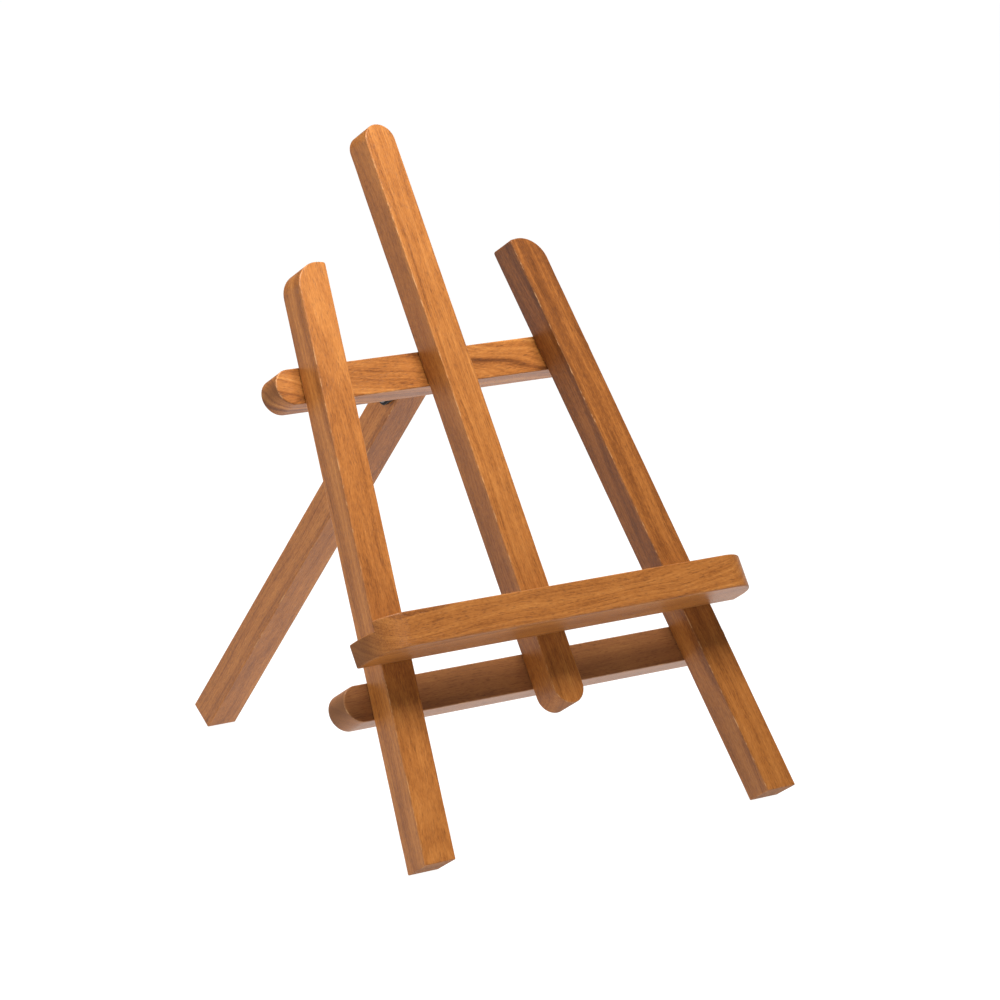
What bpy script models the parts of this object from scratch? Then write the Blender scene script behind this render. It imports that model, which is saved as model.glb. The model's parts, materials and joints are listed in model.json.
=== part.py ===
"""A small wooden display easel for one plate, about 28 cm tall, standing open on three legs.

The front frame is three sticks held by two crossbars behind them and a lipped shelf in front.
It leans back on its own two feet. A rear leg turns on a rivet in a steel bracket behind the
upper crossbar, and its slanted top end stops against the bracket when the easel is open.

The front frame is drawn flat and then leaned back by its parent empty: X runs along the
crossbars, Y goes from the front of the legs to their back, and Z goes up the sticks.
All sizes are in metres.
"""

import math

import bmesh
import bpy
from mathutils import Matrix

# Sticks of the front frame.
FRAME_LEAN = math.radians(29.1)
STICK_WIDTH = 0.0153
STICK_DEPTH = 0.0134
GAP = 0.0003
ARRIS_RADIUS = 0.0006
ARRIS_STEPS = 2
ARC_STEPS = 12

# Outer legs: half the distance between their centre lines, at the feet and at the tops.
FOOT_HALF_SPACING = 0.091
TOP_HALF_SPACING = 0.0566
LEG_RISE = 0.2574
LEG_SHOULDER_RADIUS = 0.012

# Centre upright, from its rounded lower end to its rounded top.
UPRIGHT_BOTTOM = 0.0531
UPRIGHT_TOP = 0.3151

# Crossbars behind the legs, with half-round ends.
CROSSBAR_HEIGHT = 0.0157
CROSSBAR_DEPTH = 0.0124
UPPER_BAR_RISE = 0.2089
UPPER_BAR_LENGTH = 0.1665
LOWER_BAR_RISE = 0.0727
LOWER_BAR_LENGTH = 0.2029

# Shelf in front of the legs: a ledge with a lip along its front edge.
SHELF_LENGTH = 0.2008
SHELF_DEPTH = 0.022
SHELF_CORNER_RADIUS = 0.016
SHELF_BOTTOM = 0.0834
LEDGE_HEIGHT = 0.0103
LIP_HEIGHT = 0.0043
LIP_THICKNESS = 0.007

# Rear leg, turning about the bracket's rivet.
REAR_LEG_SLOPE = math.radians(41.15)
REAR_LEG_TOP_RADIUS = 0.004
PIVOT_BEHIND_CROSSBAR = 0.0177

# Steel bracket and rivet.
BRACKET_SHEET = 0.0012
BRACKET_HEIGHT = 0.0072
RIVET_RADIUS = 0.0015
RIVET_HEAD_RADIUS = 0.0026
RIVET_HEAD_HEIGHT = 0.0011

# Countersunk wood screws, all driven from behind.
SCREW_LENGTH = 0.022
SCREW_HEAD_RADIUS = 0.0028
SCREW_HEAD_HEIGHT = 0.0017
SCREW_SHANK_RADIUS = 0.0015
SCREW_TIP_LENGTH = 0.003
SCREW_SINK = 0.0001
RECESS_LENGTH = 0.0034
RECESS_WIDTH = 0.0008
RECESS_DEPTH = 0.0009
BRACKET_SCREW_SPACING = 0.0078
TURNED_SIDES = 20

# Places worked out from the sizes above.
CROSSBAR_FRONT = STICK_DEPTH + GAP
CROSSBAR_BACK = CROSSBAR_FRONT + CROSSBAR_DEPTH
SHELF_BACK = -GAP
SHELF_FRONT = SHELF_BACK - SHELF_DEPTH
SHELF_TOP = SHELF_BOTTOM + LEDGE_HEIGHT + LIP_HEIGHT
SHELF_SCREW_RISE = SHELF_BOTTOM + LEDGE_HEIGHT / 2
LEG_SPLAY = math.atan2(FOOT_HALF_SPACING - TOP_HALF_SPACING, LEG_RISE)
OPEN_ANGLE = FRAME_LEAN + REAR_LEG_SLOPE
PIVOT_DEPTH = CROSSBAR_BACK + PIVOT_BEHIND_CROSSBAR
WEB_FRONT = CROSSBAR_BACK + GAP
WEB_BACK = WEB_FRONT + BRACKET_SHEET
BRACKET_INNER_WIDTH = STICK_WIDTH + 2 * GAP
BRACKET_OUTER_WIDTH = BRACKET_INNER_WIDTH + 2 * BRACKET_SHEET

# The back lower edges of the two feet touch the floor, so the frame is raised by this much.
FRAME_LIFT = STICK_DEPTH * math.sin(FRAME_LEAN)
PIVOT_FORWARD = UPPER_BAR_RISE * math.sin(FRAME_LEAN) + PIVOT_DEPTH * math.cos(FRAME_LEAN)
PIVOT_HEIGHT = FRAME_LIFT + UPPER_BAR_RISE * math.cos(FRAME_LEAN) - PIVOT_DEPTH * math.sin(FRAME_LEAN)
REAR_LEG_REACH = (PIVOT_HEIGHT - STICK_DEPTH / 2 * math.sin(REAR_LEG_SLOPE)) / math.cos(REAR_LEG_SLOPE)
FOOTPRINT_DEPTH = (
    PIVOT_FORWARD
    + REAR_LEG_REACH * math.sin(REAR_LEG_SLOPE)
    + STICK_DEPTH / 2 * math.cos(REAR_LEG_SLOPE)
)

SAW_ALLOWANCE = 0.01


def clear_scene():
    for thing in list(bpy.data.objects):
        bpy.data.objects.remove(thing)


def material(name, colour, roughness, metallic=0.0):
    """A Principled material in one colour."""
    made = bpy.data.materials.new(name)
    made.use_nodes = True
    shader = made.node_tree.nodes["Principled BSDF"]
    shader.inputs["Base Color"].default_value = (*colour, 1.0)
    shader.inputs["Roughness"].default_value = roughness
    shader.inputs["Metallic"].default_value = metallic
    return made


def teak(name, tone=1.0):
    """Oiled orange-brown wood, each piece a little lighter or darker."""
    return material(name + "_teak", (0.46 * tone, 0.19 * tone, 0.06 * tone), 0.45)


def empty(name, parent=None, location=(0, 0, 0), turn_x=0.0):
    holder = bpy.data.objects.new(name, None)
    bpy.context.scene.collection.objects.link(holder)
    holder.parent = parent
    holder.location = location
    holder.rotation_euler = (turn_x, 0, 0)
    return holder


def add_object(name, mesh, parent, location=(0, 0, 0), turn=(0, 0, 0), look=None):
    """Link a mesh as an object, placed in its parent's frame."""
    mesh.shade_smooth()
    mesh.set_sharp_from_angle(angle=math.radians(40))
    made = bpy.data.objects.new(name, mesh)
    bpy.context.scene.collection.objects.link(made)
    made.parent = parent
    made.location = location
    made.rotation_euler = turn
    if look:
        made.data.materials.clear()
        made.data.materials.append(look)
    return made


def as_cutter(thing):
    thing.hide_render = True
    thing.display_type = "WIRE"
    return thing


def cut(thing, *cutters):
    """Cut each cutter's shape out of a piece."""
    for cutter in cutters:
        boolean = thing.modifiers.new("cut_" + cutter.name, "BOOLEAN")
        boolean.operation = "DIFFERENCE"
        boolean.solver = "EXACT"
        boolean.object = cutter


def arc(centre_x, centre_z, radius, start, end, steps=ARC_STEPS):
    """Points along an arc, with both of its ends. Angles are in degrees."""
    points = []
    for i in range(steps + 1):
        angle = math.radians(start + (end - start) * i / steps)
        points.append((centre_x + radius * math.cos(angle), centre_z + radius * math.sin(angle)))
    return points


def prism(outline, depth):
    """A bmesh of an outline drawn counter-clockwise in X and Z, extruded from Y = 0 to Y = depth."""
    shape = bmesh.new()
    front = shape.faces.new([shape.verts.new((x, 0, z)) for x, z in outline])
    swept = bmesh.ops.extrude_face_region(shape, geom=[front])
    moved = [part for part in swept["geom"] if isinstance(part, bmesh.types.BMVert)]
    bmesh.ops.translate(shape, verts=moved, vec=(0, depth, 0))
    bmesh.ops.recalc_face_normals(shape, faces=shape.faces)
    return shape


def round_arrises(shape, radius=ARRIS_RADIUS):
    """Round the edges around the prism's front and back faces."""
    flat = [edge for edge in shape.edges if abs(edge.verts[0].co.y - edge.verts[1].co.y) < 1e-6]
    bmesh.ops.bevel(
        shape, geom=flat, offset=radius, segments=ARRIS_STEPS, profile=0.5, affect="EDGES"
    )


def saw_off(shape, point, outward):
    """Remove everything beyond a plane and close the sawn end."""
    everything = list(shape.verts) + list(shape.edges) + list(shape.faces)
    sliced = bmesh.ops.bisect_plane(
        shape, geom=everything, plane_co=point, plane_no=outward, clear_outer=True
    )
    rim = [part for part in sliced["geom_cut"] if isinstance(part, bmesh.types.BMEdge)]
    bmesh.ops.contextual_create(shape, geom=rim)
    bmesh.ops.recalc_face_normals(shape, faces=shape.faces)


def to_mesh(shape, name):
    mesh = bpy.data.meshes.new(name)
    shape.to_mesh(mesh)
    shape.free()
    return mesh


def turned(profile, name, sides=TURNED_SIDES):
    """A mesh turned about Z from (radius, height) points, which start and end on the axis."""
    shape = bmesh.new()
    first = shape.verts.new((0, 0, profile[0][1]))
    rings = []
    for radius, height in profile[1:-1]:
        turns = [2 * math.pi * i / sides for i in range(sides)]
        rings.append([shape.verts.new((radius * math.cos(t), radius * math.sin(t), height)) for t in turns])
    last = shape.verts.new((0, 0, profile[-1][1]))
    for i in range(sides):
        j = (i + 1) % sides
        shape.faces.new((first, rings[0][i], rings[0][j]))
        shape.faces.new((last, rings[-1][j], rings[-1][i]))
        for upper, lower in zip(rings, rings[1:]):
            shape.faces.new((upper[i], lower[i], lower[j], upper[j]))
    bmesh.ops.recalc_face_normals(shape, faces=shape.faces)
    return to_mesh(shape, name)


def leg_centre(rise):
    """Half the distance between the outer legs' centre lines at a height up the frame."""
    return FOOT_HALF_SPACING - rise * math.tan(LEG_SPLAY)


def outer_leg(frame, side):
    """A splayed leg. Its outer top shoulder is rounded and its foot is sawn level."""
    half = STICK_WIDTH / 2
    length = LEG_RISE / math.cos(LEG_SPLAY)
    shoulder = arc(
        half - LEG_SHOULDER_RADIUS, length - LEG_SHOULDER_RADIUS, LEG_SHOULDER_RADIUS, 0, 90
    )
    outline = [(-half, -SAW_ALLOWANCE), (half, -SAW_ALLOWANCE)] + shoulder + [(-half, length)]
    shape = prism(outline, STICK_DEPTH)
    round_arrises(shape)
    level = (-math.sin(LEG_SPLAY), 0, -math.cos(LEG_SPLAY))
    saw_off(shape, (0, 0, 0), level)
    if side < 0:
        bmesh.ops.scale(shape, vec=(-1, 1, 1), verts=shape.verts)
        bmesh.ops.reverse_faces(shape, faces=shape.faces)
    name = "left_leg" if side < 0 else "right_leg"
    return add_object(
        name,
        to_mesh(shape, name),
        frame,
        location=(side * FOOT_HALF_SPACING, 0, 0),
        turn=(0, -side * LEG_SPLAY, 0),
        look=teak(name, 1.0 + 0.04 * side),
    )


def centre_upright(frame):
    """The tallest stick, with a half-round at each end. It stops above the floor."""
    half = STICK_WIDTH / 2
    lower_end = arc(0, UPRIGHT_BOTTOM + half, half, 180, 360)
    upper_end = arc(0, UPRIGHT_TOP - half, half, 0, 180)
    shape = prism(lower_end + upper_end, STICK_DEPTH)
    round_arrises(shape)
    name = "centre_upright"
    return add_object(name, to_mesh(shape, name), frame, look=teak(name, 1.02))


def crossbar(frame, name, rise, length):
    """A bar with half-round ends across the backs of the three sticks."""
    half = CROSSBAR_HEIGHT / 2
    reach = length / 2 - half
    outline = arc(reach, 0, half, -90, 90) + arc(-reach, 0, half, 90, 270)
    shape = prism(outline, CROSSBAR_DEPTH)
    round_arrises(shape)
    return add_object(
        name, to_mesh(shape, name), frame, location=(0, CROSSBAR_FRONT, rise), look=teak(name, 0.94)
    )


def shelf(frame):
    """The plate's ledge: a block with its two front corners rounded and a step cut behind the lip."""
    reach = SHELF_LENGTH / 2
    corner_x = reach - SHELF_CORNER_RADIUS
    corner_y = SHELF_CORNER_RADIUS - SHELF_DEPTH
    plan = arc(-corner_x, corner_y, SHELF_CORNER_RADIUS, 180, 270)
    plan += arc(corner_x, corner_y, SHELF_CORNER_RADIUS, 270, 360)
    plan += [(reach, 0), (-reach, 0)]
    block = prism(plan, SHELF_TOP - SHELF_BOTTOM)
    round_arrises(block)
    bmesh.ops.rotate(block, cent=(0, 0, 0), matrix=quarter_turn(), verts=block.verts)
    name = "shelf"
    made = add_object(
        name, to_mesh(block, name), frame, location=(0, SHELF_BACK, SHELF_TOP), look=teak(name, 1.04)
    )
    step_depth = SHELF_DEPTH - LIP_THICKNESS + SAW_ALLOWANCE
    step = box("plate_step_cutter", SHELF_LENGTH + SAW_ALLOWANCE, step_depth, LIP_HEIGHT + SAW_ALLOWANCE)
    step.parent = frame
    step.location = (
        0,
        SHELF_FRONT + LIP_THICKNESS + step_depth / 2,
        SHELF_BOTTOM + LEDGE_HEIGHT + (LIP_HEIGHT + SAW_ALLOWANCE) / 2,
    )
    cut(made, as_cutter(step))
    return made


def quarter_turn():
    """Turns a plan drawn in X and Z flat, so that its Z becomes Y and its Y becomes down."""
    return Matrix.Rotation(math.radians(-90), 3, "X")


def box(name, width, depth, height):
    """A plain block about its own centre."""
    shape = bmesh.new()
    bmesh.ops.create_cube(shape, size=1)
    bmesh.ops.scale(shape, vec=(width, depth, height), verts=shape.verts)
    return add_object(name, to_mesh(shape, name), None)


def rear_leg(pivot):
    """The prop, drawn about its pivot, with its top end cut to lie flat on the bracket when open."""
    half = STICK_DEPTH / 2
    end_slope = math.pi / 2 - OPEN_ANGLE
    clear_depth = PIVOT_BEHIND_CROSSBAR - (WEB_BACK - CROSSBAR_BACK) - GAP
    middle_top = clear_depth / math.sin(OPEN_ANGLE)
    rise = half * math.tan(end_slope)
    radius = REAR_LEG_TOP_RADIUS
    corner_turn = math.degrees(end_slope)
    # The rounded corner's centre lies one radius in from the outer side and from the slanted end.
    centre_x = half - radius
    centre_z = middle_top + centre_x * math.tan(end_slope) - radius / math.cos(end_slope)
    corner = arc(centre_x, centre_z, radius, 0, 90 + corner_turn)
    foot = -REAR_LEG_REACH - SAW_ALLOWANCE
    outline = [(-half, foot), (half, foot)] + corner + [(-half, middle_top - rise)]
    shape = prism(outline, STICK_WIDTH)
    round_arrises(shape)
    saw_off(shape, (0, 0, -REAR_LEG_REACH), (0, 0, -1))
    name = "rear_leg"
    # Turned so that the outline's X runs along the pivot's Y and its depth along the pivot's X.
    return add_object(
        name,
        to_mesh(shape, name),
        pivot,
        location=(STICK_WIDTH / 2, 0, 0),
        turn=(0, 0, math.radians(90)),
        look=teak(name, 0.92),
    )


def bracket(frame):
    """A U of sheet steel: a web behind the upper crossbar and a round-ended cheek on each side."""
    half = BRACKET_HEIGHT / 2
    reach = PIVOT_DEPTH - WEB_FRONT
    outline = [(0, -half)] + arc(reach, 0, half, -90, 90) + [(0, half)]
    shape = prism(outline, BRACKET_OUTER_WIDTH)
    name = "hinge_bracket"
    made = add_object(
        name,
        to_mesh(shape, name),
        frame,
        location=(BRACKET_OUTER_WIDTH / 2, WEB_FRONT, UPPER_BAR_RISE),
        turn=(0, 0, math.radians(90)),
        look=material(name + "_steel", (0.02, 0.02, 0.022), 0.5, 0.8),
    )
    hollow_depth = reach + half + SAW_ALLOWANCE
    hollow = box("bracket_hollow_cutter", BRACKET_INNER_WIDTH, hollow_depth, BRACKET_HEIGHT + SAW_ALLOWANCE)
    hollow.parent = frame
    hollow.location = (0, WEB_BACK + hollow_depth / 2, UPPER_BAR_RISE)
    cut(made, as_cutter(hollow))
    return made


def rivet(frame):
    """The pivot pin, with a domed head outside each cheek."""
    shoulder = BRACKET_OUTER_WIDTH / 2 + GAP
    tip = shoulder + RIVET_HEAD_HEIGHT
    dome = [(0, tip)]
    for turn in (60, 30, 0):
        angle = math.radians(turn)
        dome.append((RIVET_HEAD_RADIUS * math.cos(angle), shoulder + RIVET_HEAD_HEIGHT * math.sin(angle)))
    half_profile = dome + [(RIVET_RADIUS, shoulder)]
    profile = half_profile + [(radius, -height) for radius, height in reversed(half_profile)]
    name = "pivot_rivet"
    return add_object(
        name,
        turned(profile, name),
        frame,
        location=(0, PIVOT_DEPTH, UPPER_BAR_RISE),
        turn=(0, math.radians(90), 0),
        look=material(name + "_steel", (0.05, 0.05, 0.05), 0.4, 0.9),
    )


def rivet_hole(frame):
    radius = RIVET_RADIUS + GAP
    reach = BRACKET_OUTER_WIDTH / 2 + SAW_ALLOWANCE
    mesh = turned([(0, reach), (radius, reach), (radius, -reach), (0, -reach)], "rivet_hole_cutter")
    return as_cutter(
        add_object(
            "rivet_hole_cutter",
            mesh,
            frame,
            location=(0, PIVOT_DEPTH, UPPER_BAR_RISE),
            turn=(0, math.radians(90), 0),
        )
    )


def screw_profile(clearance, above):
    """A countersunk screw from its head down, or its hole when there is clearance."""
    head = SCREW_HEAD_RADIUS + clearance
    shank = SCREW_SHANK_RADIUS + clearance
    length = SCREW_LENGTH + clearance
    profile = [(0, above), (head, above)]
    if above > 0:
        profile.append((head, 0))
    profile.append((shank, -SCREW_HEAD_HEIGHT - clearance))
    profile.append((shank, -length + SCREW_TIP_LENGTH))
    profile.append((shank / 4, -length))
    profile.append((0, -length))
    return profile


def screw_mesh():
    """One screw with its cross recess, shared by every screw."""
    blank = add_object("screw_blank", turned(screw_profile(0, 0), "screw_blank"), None)
    long, wide = RECESS_LENGTH / 2, RECESS_WIDTH / 2
    quarter = [(long, -wide), (long, wide), (wide, wide)]
    cross = []
    for turn in range(4):
        cosine, sine = round(math.cos(turn * math.pi / 2)), round(math.sin(turn * math.pi / 2))
        cross += [(x * cosine - z * sine, x * sine + z * cosine) for x, z in quarter]
    shape = prism(cross, RECESS_DEPTH * 2)
    bmesh.ops.rotate(shape, cent=(0, 0, 0), matrix=quarter_turn(), verts=shape.verts)
    bmesh.ops.translate(shape, verts=shape.verts, vec=(0, 0, RECESS_DEPTH))
    cross_cutter = add_object("recess_cutter", to_mesh(shape, "recess_cutter"), None)
    cut(blank, cross_cutter)
    graph = bpy.context.evaluated_depsgraph_get()
    mesh = bpy.data.meshes.new_from_object(blank.evaluated_get(graph))
    bpy.data.objects.remove(blank)
    bpy.data.objects.remove(cross_cutter)
    mesh.materials.clear()
    mesh.materials.append(material("screw_steel", (0.32, 0.3, 0.27), 0.35, 0.95))
    return mesh


def screw(frame, name, mesh, x, head_depth, rise, pieces):
    """A screw driven forwards from head_depth, and its clearance hole in each piece it passes."""
    place = (x, head_depth - SCREW_SINK, rise)
    turn = (math.radians(-90), 0, 0)
    made = add_object(name, mesh, frame, location=place, turn=turn)
    hole_mesh = turned(screw_profile(GAP, SCREW_HEAD_HEIGHT), name + "_hole")
    hole = as_cutter(add_object(name + "_hole", hole_mesh, frame, location=place, turn=turn))
    for piece in pieces:
        cut(piece, hole)
    return made


def build():
    clear_scene()
    frame = empty("front_frame", location=(0, -FOOTPRINT_DEPTH / 2, FRAME_LIFT), turn_x=-FRAME_LEAN)
    pivot = empty(
        "rear_leg_pivot", parent=frame, location=(0, PIVOT_DEPTH, UPPER_BAR_RISE), turn_x=OPEN_ANGLE
    )
    left = outer_leg(frame, -1)
    right = outer_leg(frame, 1)
    upright = centre_upright(frame)
    upper = crossbar(frame, "upper_crossbar", UPPER_BAR_RISE, UPPER_BAR_LENGTH)
    lower = crossbar(frame, "lower_crossbar", LOWER_BAR_RISE, LOWER_BAR_LENGTH)
    ledge = shelf(frame)
    prop = rear_leg(pivot)
    hinge = bracket(frame)
    rivet(frame)
    hole = rivet_hole(frame)
    cut(prop, hole)
    cut(hinge, hole)

    mesh = screw_mesh()
    upper_x, lower_x, shelf_x = map(leg_centre, (UPPER_BAR_RISE, LOWER_BAR_RISE, SHELF_SCREW_RISE))
    for side, leg in (("left", left), ("right", right)):
        sign = -1 if side == "left" else 1
        screw(frame, "upper_screw_" + side, mesh, sign * upper_x, CROSSBAR_BACK, UPPER_BAR_RISE, (upper, leg))
        screw(frame, "lower_screw_" + side, mesh, sign * lower_x, CROSSBAR_BACK, LOWER_BAR_RISE, (lower, leg))
        screw(frame, "shelf_screw_" + side, mesh, sign * shelf_x, STICK_DEPTH, SHELF_SCREW_RISE, (leg, ledge))
        offset = sign * BRACKET_SCREW_SPACING / 2
        pieces = (hinge, upper, upright)
        screw(frame, "bracket_screw_" + side, mesh, offset, WEB_BACK, UPPER_BAR_RISE, pieces)
    screw(frame, "lower_screw_centre", mesh, 0, CROSSBAR_BACK, LOWER_BAR_RISE, (lower, upright))
    screw(frame, "shelf_screw_centre", mesh, 0, STICK_DEPTH, SHELF_SCREW_RISE, (upright, ledge))


build()
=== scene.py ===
"""Looks for the plate display stand: seven pieces of oiled teak, a black steel hinge bracket, its rivet
and the screws, on a plain pale floor in soft studio light.

Every piece is rebuilt at the place and size of its CAD node, with rounder arrises, finer curves and a
procedural material. Wooden pieces are drawn with Z along the grain, X across and Y from front to back.
All sizes are in metres.
"""

import json
import math

import bmesh
import bpy
from mathutils import Matrix, Vector, noise


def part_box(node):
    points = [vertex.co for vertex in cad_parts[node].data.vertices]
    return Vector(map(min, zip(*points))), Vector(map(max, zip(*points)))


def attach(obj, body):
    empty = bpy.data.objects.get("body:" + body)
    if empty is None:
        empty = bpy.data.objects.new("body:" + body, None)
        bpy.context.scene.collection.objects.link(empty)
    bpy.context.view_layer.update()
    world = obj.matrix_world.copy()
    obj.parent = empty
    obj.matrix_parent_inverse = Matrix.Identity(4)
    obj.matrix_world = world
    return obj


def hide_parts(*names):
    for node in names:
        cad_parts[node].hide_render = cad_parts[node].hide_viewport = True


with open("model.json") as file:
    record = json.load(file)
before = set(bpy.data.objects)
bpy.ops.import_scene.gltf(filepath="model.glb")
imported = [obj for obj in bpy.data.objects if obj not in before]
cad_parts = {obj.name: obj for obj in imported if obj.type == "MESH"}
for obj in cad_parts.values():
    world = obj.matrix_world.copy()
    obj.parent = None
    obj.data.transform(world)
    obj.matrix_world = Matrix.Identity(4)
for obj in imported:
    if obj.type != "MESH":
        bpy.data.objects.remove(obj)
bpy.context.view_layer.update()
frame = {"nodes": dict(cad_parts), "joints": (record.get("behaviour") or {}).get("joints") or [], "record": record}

# Angles and sizes that the frame's boxes don't give.
FOOT_HALF_SPACING = 0.091
TOP_HALF_SPACING = 0.0566
LEG_RISE = 0.2574
LEG_SPLAY = math.atan2(FOOT_HALF_SPACING - TOP_HALF_SPACING, LEG_RISE)
REAR_LEG_SLOPE = math.radians(41.15)
REAR_LEG_TOP_RADIUS = 0.004
LEG_SHOULDER_RADIUS = 0.012
SHELF_CORNER_RADIUS = 0.016
LEDGE_HEIGHT = 0.0103
LIP_THICKNESS = 0.007
CLEARANCE = 0.0003
TOP_MARGIN = 0.00006

# Finish of the wooden pieces.
ARRIS_RADIUS = 0.0005
ARRIS_ROWS = 4
SHELF_ARRIS_RADIUS = 0.0008
SHELF_ARRIS_ROWS = 5
SAWN_EDGE_RADIUS = 0.0004
SAWN_EDGE_ROWS = 2
CORNER_RADIUS = 0.0012
ARC_STEP = math.radians(5)
SHARP_ANGLE = math.radians(50)
SHELF_EDGE_ANGLE = math.radians(30)
FRONT_SAW_ALLOWANCE = 0.02
REAR_SAW_ALLOWANCE = 0.01

# Wear of the arrises: how deep, how often along them, and its noise per metre across and along a stick.
WEAR_DEPTH = 0.00012
SHELF_WEAR_DEPTH = 0.00024
WEAR_STEP = 0.0025
WEAR_SCALE = (40, 40, 90)
SHELF_WEAR_SCALE = (60, 60, 80)
DENT_LEVEL = 0.1
LONG_DENT_LEVEL = 0.2
LONG_DENT_RATE = 0.31
WEAR_SEEDS = {"left_leg": 7.3, "right_leg": 14.7, "centre_upright": 23.0, "rear_leg": 41.0}
CROSSBAR_SEED_RATE = 300

# Hinge metalwork.
SHEET = 0.0012
BEND_RADIUS = 0.0016
SHEET_EDGE_RADIUS = 0.0002
SHEET_EDGE_ROWS = 3
TURNED_SIDES = 48
DOME_STEPS = 8
HOLE_SIDES = 36
OVERSHOOT = 0.001

# Screws.
SHANK_RADIUS = 0.0015
CORE_RADIUS = 0.00112
THREAD_PITCH = 0.0013
THREAD_SIDES = 24
THREAD_ROWS = 6
SMOOTH_SHANK = 0.004
POINT_SHARE = 0.25
HEAD_HEIGHT = 0.0017
HEAD_ROWS = ((-0.0003, 0.0), (-0.0001, -0.00004), (0.0, -0.00016), (-0.00004, -0.0003))
TIP_LENGTH = 0.003
RECESS_LENGTH = 0.0034
RECESS_WIDTH = 0.0008
RECESS_DEPTH = 0.001
RECESS_DRAFT = 0.7
RECESS_TURN = math.radians(37)
HOLE_TURN_RATE = 7.3

# Camera.
CAMERA_PLACE = (-1.1928, -1.5629, 0.4835)
CAMERA_YAW = math.radians(38.643)
CAMERA_PITCH = math.radians(-10.454)
CAMERA_ROLL = math.radians(-0.873)
CAMERA_LENS = 168.5
CAMERA_SENSOR = 36

# Light. The floor glows, as a lit white sweep does, and the room does too, low around the horizon.
FLOOR_GLOW = 1.0
FLOOR_HALF_SIZE = 15
WORLD_LIGHT = 0.05
HORIZON_BAND = (0.03, 0.09)
WHITE = (1.0, 1.0, 1.0, 1.0)
LIGHT_AIM = (0.0, 0.0, 0.13)
KEY_PLACE = (0.04, -0.28, 0.91)
KEY_SIZE = 0.38
KEY_POWER = 12.2
SIDE_PLACE = (-0.7, 0.2, 0.95)
SIDE_SIZE = 0.5
SIDE_POWER = 6.0

# Teak's tones, from dark to light along the sum of its figure.
TEAK_TONES = (
    (0.05, (0.095, 0.029, 0.0075)),
    (0.32, (0.217, 0.069, 0.0145)),
    (0.52, (0.338, 0.117, 0.0245)),
    (0.72, (0.425, 0.16, 0.036)),
    (0.95, (0.54, 0.235, 0.062)),
)
MEDIUM_TONE = 0.56
DULL_TEAK = (0.3, 0.15, 0.08)
PORE_COLOUR = (0.07, 0.022, 0.008)
END_GRAIN_COLOUR = (0.13, 0.05, 0.018)
# Pale colour of the rubbed arrises, also used for the painted highlight along them.
WORN_AND_HIGHLIGHT_COLOUR = (0.62, 0.34, 0.15)

# Teak's figure from ring to ring: noise scale per millimetre, detail and roughness.
BROAD_RINGS = (0.22, 2.0, 0.5)
BANDS = (0.75, 2.0, 0.6)
LINES = (2.1, 1.0, 0.5)

# Its figure in space: noise scales across and along the grain, detail and roughness.
WANDER = ((0.03, 0.03, 0.009), 2.0, 0.5)
FIBRES = ((2.3, 2.3, 0.045), 3.0, 0.6)
MOTTLE = ((0.16, 0.16, 0.05), 2.0, 0.5)
SPECKLE = ((1.5, 1.5, 0.5), 3.0, 0.65)
PORES = ((3.2, 3.2, 0.3), 1.0, 0.5)
WORN_PATCHES = ((0.5, 0.5, 0.16), 3.0, 0.7)
WANDER_REACH = 9.0
SEED_SPACING = 137.0

# The levels between which each of these goes from none to all.
BROAD_STEP = (0.38, 0.62)
LINE_STEP = (0.36, 0.56)
PORE_STEP = (0.58, 0.68)
WORN_STEP = (0.52, 0.6)

# How much each of them counts.
BROAD_SHARE = 0.24
BAND_SHARE = 0.6
LINE_SHARE = 0.12
FIBRE_SHARE = 0.42
MOTTLE_SHARE = 0.35
SPECKLE_SHARE = 0.55
PORE_SHARE = 0.38
END_GRAIN_SHARE = 0.6
WORN_SHARE = 0.6
# A pale line along every arris, partly rubbed oil and partly a painted highlight on the rounded edge.
ARRIS_WEAR_AND_HIGHLIGHT = 0.08

# Gloss and relief.
WOOD_IOR = 1.5
WOOD_GLOSS = 0.25
WOOD_ROUGHNESS = 0.3
FIBRE_ROUGHNESS = 0.16
WORN_ROUGHNESS = 0.15
END_ROUGHNESS = 0.35
FIBRE_RELIEF = 0.6
PORE_RELIEF = -0.7
WOOD_RELIEF = 0.00012
WOOD_RELIEF_STRENGTH = 0.35
PAINT_GLOSS = 0.2
PAINT_ROUGHNESS = 0.4
PAINT_PEEL = 0.00005
TURNING_MARKS = 0.00002

# Marks on the metal: noise scale per millimetre, detail and roughness.
PEEL = ((2.6, 2.6, 2.6), 2.0, 0.5)
DUST = ((0.26, 0.26, 0.26), 3.0, 0.7)
TARNISH_CLOUDS = ((0.42, 0.42, 0.42), 3.0, 0.65)
LATHE_MARKS = (14.0, 2.0, 0.6)
RUBBED_EDGE_RADIUS = 0.0004

# Metal colours.
BLACK_PAINT = (0.004, 0.004, 0.0045)
DUSTY_PAINT = (0.012, 0.012, 0.0125)
BARE_STEEL = (0.28, 0.27, 0.26)
RIVET_STEEL = (0.22, 0.22, 0.23)
ZINC_PLATE = (0.62, 0.6, 0.55)
TARNISH = 0.45

MILLIMETRE = 0.001
NO_LENGTH = 1e-6


# ---------------------------------------------------------------- places


def frame_matrix():
    """The leaned front frame: X along the crossbars, Y front to back, Z up the sticks."""
    ledge = next(m for m in frame["record"]["mounts"] if m["name"] == "plate_ledge")
    lean = math.atan2(ledge["axis"][1], ledge["axis"][2])
    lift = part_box("left_leg")[0]
    leaned = Matrix.Rotation(-lean, 4, "X")
    # Zero is the feet's front lower edge. They stand on their rear lower edge.
    front, back = (corner.y for corner in local_box("centre_upright", leaned))
    return Matrix.Translation((0, lift.y, (back - front) * math.sin(lean))) @ leaned


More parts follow.
